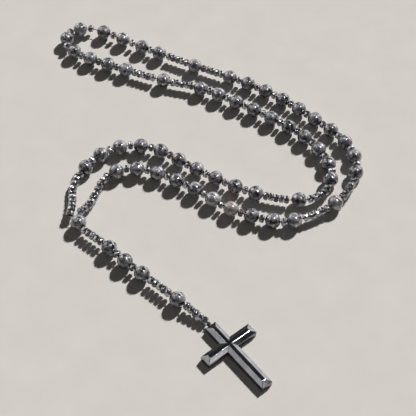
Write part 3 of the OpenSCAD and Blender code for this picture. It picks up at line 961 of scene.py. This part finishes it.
def plied(path, radius, first_turn=0.0):
    """Vertices and faces of a three-ply thread along a path of places in metres."""
    verts, faces = [], []
    up = Vector((0, 0, 1))
    travelled = 0.0
    for k, p in enumerate(path):
        way = (path[min(k + 1, len(path) - 1)] - path[max(k - 1, 0)]).normalized()
        side = up.cross(way).normalized()
        up = way.cross(side).normalized()
        travelled += (p - path[k - 1]).length if k else 0.0
        for a in range(PLY_SIDES):
            angle = 2 * math.pi * a / PLY_SIDES
            lobe = math.cos(3 * angle - PLY_TURN * travelled / MM + first_turn)
            r = radius * (1 - PLY_DEPTH * (1 - lobe) / 2)
            verts.append(p + side * r * math.cos(angle) + up * r * math.sin(angle))
    for k in range(len(path) - 1):
        for a in range(PLY_SIDES):
            b = (a + 1) % PLY_SIDES
            low, high = k * PLY_SIDES, (k + 1) * PLY_SIDES
            faces.append((low + a, low + b, high + b, high + a))
    faces.append(tuple(reversed(range(PLY_SIDES))))
    faces.append(tuple((len(path) - 1) * PLY_SIDES + a for a in range(PLY_SIDES)))
    return verts, faces


def thread_object(name, paths, radius=THREAD_RADIUS * MM):
    """One object that holds one strand for each path."""
    verts, faces = [], []
    for path in paths:
        made, made_faces = plied(path, radius)
        faces += [tuple(len(verts) + v for v in face) for face in made_faces]
        verts += made
    mesh = bpy.data.meshes.new(name)
    mesh.from_pydata(verts, [], faces)
    make_smooth(mesh)
    mesh.materials.append(thread_finish)
    made = put_in_scene(name, mesh)
    return made


def thread_between(low, high):
    """The thread's path between two distances along it, with both ends exact."""
    step = raw_run[-1] / samples
    marks = [step * k for k in range(samples + 1)]
    inner = [whole_thread[k] for k in range(math.floor(low / step) + 1, math.ceil(high / step))]
    return [at_distance(whole_thread, marks, low), *inner, at_distance(whole_thread, marks, high)]


# %% [markdown]
# Where is it cut? At each joint, the short piece over it reaches 0.35 mm into the holes on both
# sides, where its ends don't show.

# %% Cut the thread at the joints
TUCK = 0.35


def reach_of(plays, i):
    return (plays[i] / 2 + TUCK) * MM


def beside(gap, side):
    """How far along the thread a stiff part ends before (-1) or starts after (1) a fold."""
    return thread_mark["loop", gap] + side * reach_of(loop_plays, gap)


def below_bead(side):
    """How far along it the thread that comes through the centre bead bends first, below that bead."""
    return thread_mark["pendant", side, 1] - side * reach_of(pendant_plays, 1)


def pendant_spans(first, last):
    """Both strands between two joints of the pendant."""
    spans = []
    for side in (-1, 1):
        start = thread_mark["pendant", side, first] + side * reach_of(pendant_plays, first)
        end = thread_mark["pendant", side, last]
        if last < CROSS_END:
            end -= side * reach_of(pendant_plays, last)
        spans.append(thread_between(min(start, end), max(start, end)))
    return spans


CROSS_END = len(pendant_gaps)
thread_pieces = {
    "thread_tail_left": [thread_between(below_bead(-1), beside(FOLD_GAPS[0], -1))],
    "thread_middle_lower": [thread_between(beside(FOLD_GAPS[0], 1), beside(FOLD_GAPS[1], -1))],
    "thread_end": [thread_between(beside(FOLD_GAPS[1], 1), beside(FOLD_GAPS[2], -1))],
    "thread_middle_upper": [thread_between(beside(FOLD_GAPS[2], 1), beside(FOLD_GAPS[3], -1))],
    "thread_tail_right": [thread_between(beside(FOLD_GAPS[3], 1), below_bead(1))],
    "thread_in_cross": pendant_spans(BEND_GAPS[-1], CROSS_END),
}
for n, (first, last) in enumerate(zip(BEND_GAPS[:-2], BEND_GAPS[1:-1]), 1):
    thread_pieces[f"thread_pendant_{n}"] = pendant_spans(first, last)
for node, paths in thread_pieces.items():
    made = thread_object(node + "_plied", paths)
    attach(made, BODY_OF[node])
    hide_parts(node)

# %% Bridge the joints
pendant_bodies = ["loop_tail", "pendant_run_1", "pendant_link_2", "pendant_link_3", "pendant_link_4",
                  "pendant_run_5", "pendant_link_6", "pendant_run_7", "knot", "cross"]
loop_joints = list(zip(FOLD_GAPS, (("loop_tail", "loop_middle"), ("loop_middle", "loop_end"),
                                   ("loop_end", "loop_middle"), ("loop_middle", "loop_tail"))))


def bridge(name, paths):
    made = thread_object(name, paths)
    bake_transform(made)


for gap, bodies in loop_joints:
    bridge(f"thread_over_loop_gap_{gap}", [thread_between(beside(gap, -1), beside(gap, 1))])
for gap, bodies in zip(BEND_GAPS, zip(pendant_bodies, pendant_bodies[1:])):
    reach_here = reach_of(pendant_plays, gap)
    paths = [thread_between(thread_mark["pendant", side, gap] - reach_here,
                            thread_mark["pendant", side, gap] + reach_here) for side in (-1, 1)]
    bridge(f"thread_over_pendant_gap_{gap}", paths)
print("thread pieces:", len(thread_pieces), "rigid and", len(loop_joints) + len(BEND_GAPS), "that bend")

# %% [markdown]
# ## The knot
# Above the cross the thread's end is wound three times round its own two strands and pulled tight.
# So the knot really is a helix of the same thread, a little squeezed, whose ends dive in between
# the strands.

# %% Wind the knot
WRAPS = 3
WRAP_SQUEEZE = 0.85
WRAP_RADIUS = LENGTHS[KNOT] / (1 + (WRAPS - 1) * WRAP_SQUEEZE) / 2
WRAP_GAP = 0.04
WRAP_RING = STRAND_OFFSET + THREAD_RADIUS + WRAP_GAP + WRAP_RADIUS
WRAP_STEPS = 36
TUCK_SHARE, TUCKED_RING = 0.07, 0.45
knot_place = pendant_place(len(pendant_pieces) - 1)
half_height = LENGTHS[KNOT] / 2 - WRAP_RADIUS
winding = []
for k in range(WRAPS * WRAP_STEPS + 1):
    share = k / (WRAPS * WRAP_STEPS)
    angle = 2 * math.pi * WRAPS * share
    out_of_tuck = min(min(share, 1 - share) / TUCK_SHARE, 1.0)
    r = WRAP_RING * (TUCKED_RING + (1 - TUCKED_RING) * math.sin(out_of_tuck * math.pi / 2))
    winding.append(knot_place @ (Vector((r * math.cos(angle), r * math.sin(angle),
                                         half_height * (2 * share - 1))) * MM))
knot_strands = pendant_spans(BEND_GAPS[-2], BEND_GAPS[-1])
knot = thread_object("knot_wound", knot_strands)
wound = thread_object("knot_wraps", [winding], WRAP_RADIUS * MM)
for piece in (knot, wound):
    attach(piece, "knot")
    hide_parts("knot")
print("the knot takes", round(run_along(winding)[-1] / MM, 1), "mm of thread")

# %% [markdown]
# ## The cross
# The cross is cut from one slab of hematite: square side walls, a broad bevel that rises from them to
# a narrow flat strip, and a hip at each end. Polishing on a soft wheel rounds every edge by about a
# seventh of a millimetre. The sharp shape is taken from the CAD node and its edges are bevelled.
# Smooth shading would then smear light over the broad facets, so every point is told to face the way
# of its largest facet: the facets mirror like flat glass and only the narrow edges are round. The
# edges round the hole stay sharp, because a bevel there would cut into its wall.

# %% Polish the cross
CROSS_EDGE = 0.15
BORE_CLEARANCE = 0.75
FLAT_ANGLE, SHARP_ANGLE = math.radians(0.5), math.radians(8)
WELD = 1e-6

cross_node = frame["nodes"]["cross"]
work = bmesh.new()
work.from_mesh(cross_node.data)
work.transform(cross_node.matrix_world)
bmesh.ops.remove_doubles(work, verts=work.verts, dist=WELD)
bmesh.ops.dissolve_limit(work, angle_limit=FLAT_ANGLE, verts=work.verts, edges=work.edges)
bore_start = seat(cross_top, CROSS_HOLE_HEIGHT)
bore_way = Vector((cross_way.x, cross_way.y, 0))


def off_bore(v):
    away = v.co - bore_start
    return (away - bore_way * away.dot(bore_way)).length > BORE_CLEARANCE * MM


sharp = [e for e in work.edges if len(e.link_faces) == 2 and e.calc_face_angle() > SHARP_ANGLE
         and all(off_bore(v) for v in e.verts)]
bmesh.ops.bevel(work, geom=sharp, offset=CROSS_EDGE * MM, segments=3, profile=0.5, affect="EDGES")
bmesh.ops.recalc_face_normals(work, faces=work.faces)
cross_mesh = bpy.data.meshes.new("cross_polished")
work.to_mesh(cross_mesh)
print("cross edges rounded:", len(sharp), "and faces now:", len(work.faces))
work.free()
keep_facets_flat(cross_mesh)
cross_mesh.materials.append(cross_finish)
cross = put_in_scene("cross_polished", cross_mesh)
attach(cross, "cross")
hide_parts("cross")

# %% [markdown]
# ## The table and the light
# The floor is plain, pale and matt, so nothing competes with the beads. The photograph's shadows are
# those of the sun, so the key light is a sun too: its rays are parallel, and the floor is lit evenly.
# Polished dark beads are seen only by what they mirror, and one lamp would leave them as black dots.
# Yet the photograph's highlights don't lie where its sun would put them. So the key is hidden from
# what is glossy. A small glint lamp and several dim cards take its place there, as white cards do in a
# jeweller's light tent, and they are hidden from what is matt, so that they cast no light on the floor.

# %% Lay the floor
FLOOR_SIZE = 12.0
FLOOR_DARK, FLOOR_PALE = (0.60, 0.57, 0.53), (0.66, 0.63, 0.59)
half = FLOOR_SIZE / 2
floor_mesh = bpy.data.meshes.new("floor")
floor_mesh.from_pydata([(-half, -half, 0), (half, -half, 0), (half, half, 0), (-half, half, 0)],
                       [], [(0, 1, 2, 3)])
floor = put_in_scene("floor", floor_mesh)
floor.location.z = cad_low.z
floor_material, tree, shader = start_material("floor")
mottle = noise(tree, add(tree, "ShaderNodeTexCoord").outputs["Object"], 60.0, 3.0)
fill(tree, shader, {"Base Color": blend_colour(tree, mottle.outputs["Fac"], FLOOR_DARK, FLOOR_PALE),
                    "Roughness": 0.75, "Specular IOR Level": 0.0})
floor_mesh.materials.append(floor_material)
print("floor:", FLOOR_SIZE, "m square")

# %% Grade the sky
SKY_AT_EDGE, SKY_ABOVE, SKY_BEHIND = 0.16, 0.07, 0.72
SKY_COLOUR = (0.98, 0.98, 1.0, 1.0)

world = bpy.data.worlds.new("sky")
scene.world = world
world.use_nodes = True
sky = world.node_tree
up = add(sky, "ShaderNodeSeparateXYZ", {"Vector": add(sky, "ShaderNodeTexCoord").outputs["Generated"]})
glow = span(sky, up.outputs["Z"], 0.0, 0.5, SKY_AT_EDGE, SKY_ABOVE)
seen = add(sky, "ShaderNodeLightPath").outputs["Is Camera Ray"]
shown = add(sky, "ShaderNodeMix", {0: seen, 2: glow, 3: SKY_BEHIND})
fill(sky, sky.nodes["Background"], {"Strength": shown.outputs[0], "Color": SKY_COLOUR})


# %% Set the key light
KEY_AZIMUTH, KEY_ELEVATION = 57, 39
KEY_STRENGTH, KEY_WIDTH = 4.7, math.radians(4.6)


def towards(azimuth, elevation):
    """The way to a lamp that stands at so many degrees round from +X and above the table."""
    a, e = math.radians(azimuth), math.radians(elevation)
    return Vector((math.cos(a) * math.cos(e), math.sin(a) * math.cos(e), math.sin(e)))


def shining(way):
    """The turn of a lamp that shines along a direction."""
    return way.to_track_quat("-Z", "Y").to_euler()


key_light = bpy.data.lights.new("key", "SUN")
key_light.energy, key_light.angle = KEY_STRENGTH, KEY_WIDTH
key = put_in_scene("key", key_light)
key.rotation_euler = shining(-towards(KEY_AZIMUTH, KEY_ELEVATION))
key.visible_glossy = False
print("the key light shines along", [round(v, 2) for v in -towards(KEY_AZIMUTH, KEY_ELEVATION)])

# %% [markdown]
# Each lamp below stands where a row of stones, the cut spacers or the cross shows it in the photograph.
# The numbers are its azimuth and elevation in degrees, its distance, width and height in metres,
# and its watts.

# %% Set the glint lamp and the cards
GLINT = (9, 66, 1.0, 0.09, 0.09, 7.5)
CARDS = {
    "far_right_card": (56, 14, 1.2, 1.1, 0.5, 2.8),
    "right_card": (42, 28, 1.2, 0.55, 0.4, 2.0),
    "left_card": (172, 44, 1.0, 1.0, 0.75, 2.3),
    "far_left_card": (138, 22, 1.2, 0.8, 0.7, 4.0),
    "spacer_card": (112, 67, 1.0, 0.12, 0.12, 0.6),
    "cross_card": (-43.3, 43.4, 0.34, 0.05, 0.045, 0.0125),
}


def soft_box(name, azimuth, elevation, distance, width, height, watts, shape="RECTANGLE"):
    """A lamp that only polished surfaces see, and that looks at the middle of the string."""
    data = bpy.data.lights.new(name, "AREA")
    data.shape, data.size, data.size_y, data.energy = shape, width, height, watts
    lamp = put_in_scene(name, data)
    lamp.location = towards(azimuth, elevation) * distance
    lamp.rotation_euler = shining(-lamp.location)
    lamp.visible_camera = False
    lamp.visible_diffuse = False


soft_box("glint", *GLINT, shape="DISK")
for name, values in CARDS.items():
    soft_box(name, *values)

# %% [markdown]
# ## Measure and finish
# The last cell measures how far each named point of the finished meshes is from where the photograph
# shows it, and how far the outline's edges are from it, and prints that.

# %% Compare with the photograph
CROSS_THICKNESS = 4.4

scene.view_settings.view_transform = "Standard"
bpy.context.view_layer.update()


def seen_middle(points):
    """The pixel at the middle of the box round the points."""
    pixels = [pixel_of(p) for p in points]
    xs, ys = [p[0] for p in pixels], [p[1] for p in pixels]
    return (min(xs) + max(xs)) / 2, (min(ys) + max(ys)) / 2


marked_stones = {name: ("pendant", i) for name, i in PENDANT_STONES.items()}
marked_stones.update({f"our_father_{n}": ("loop", our_father(n)) for n in range(1, 5)})
marked_stones.update({f"decade_{n}_first": ("loop", decade_start(n)) for n in (1, 2, 4)})
measured = {name: seen_middle([stones[key] @ (v * MM) for v in BEAD_VERTS])
            for name, key in marked_stones.items()}
measured["cross_middle"] = pixel_of(seat(cross_top + cross_way * CROSS_DROP, CROSS_THICKNESS))
offsets = {name: [round(measured[name][0] - x, 2), round(measured[name][1] - y, 2)]
           for name, (x, y) in IMAGE_POINTS.items()}
every_pixel = [pixel_of(o.matrix_world @ v.co)
               for o in [*stone_objects.values(), cross] for v in o.data.vertices]
xs, ys = [p[0] for p in every_pixel], [p[1] for p in every_pixel]
edges = {"left": min(xs), "right": max(xs), "top": min(ys), "bottom": max(ys)}
for name, value in edges.items():
    gap = round(value - IMAGE_EDGES[name], 2)
    offsets["edge_" + name] = [gap, 0.0] if name in ("left", "right") else [0.0, gap]
print("offsets in pixels:", offsets)
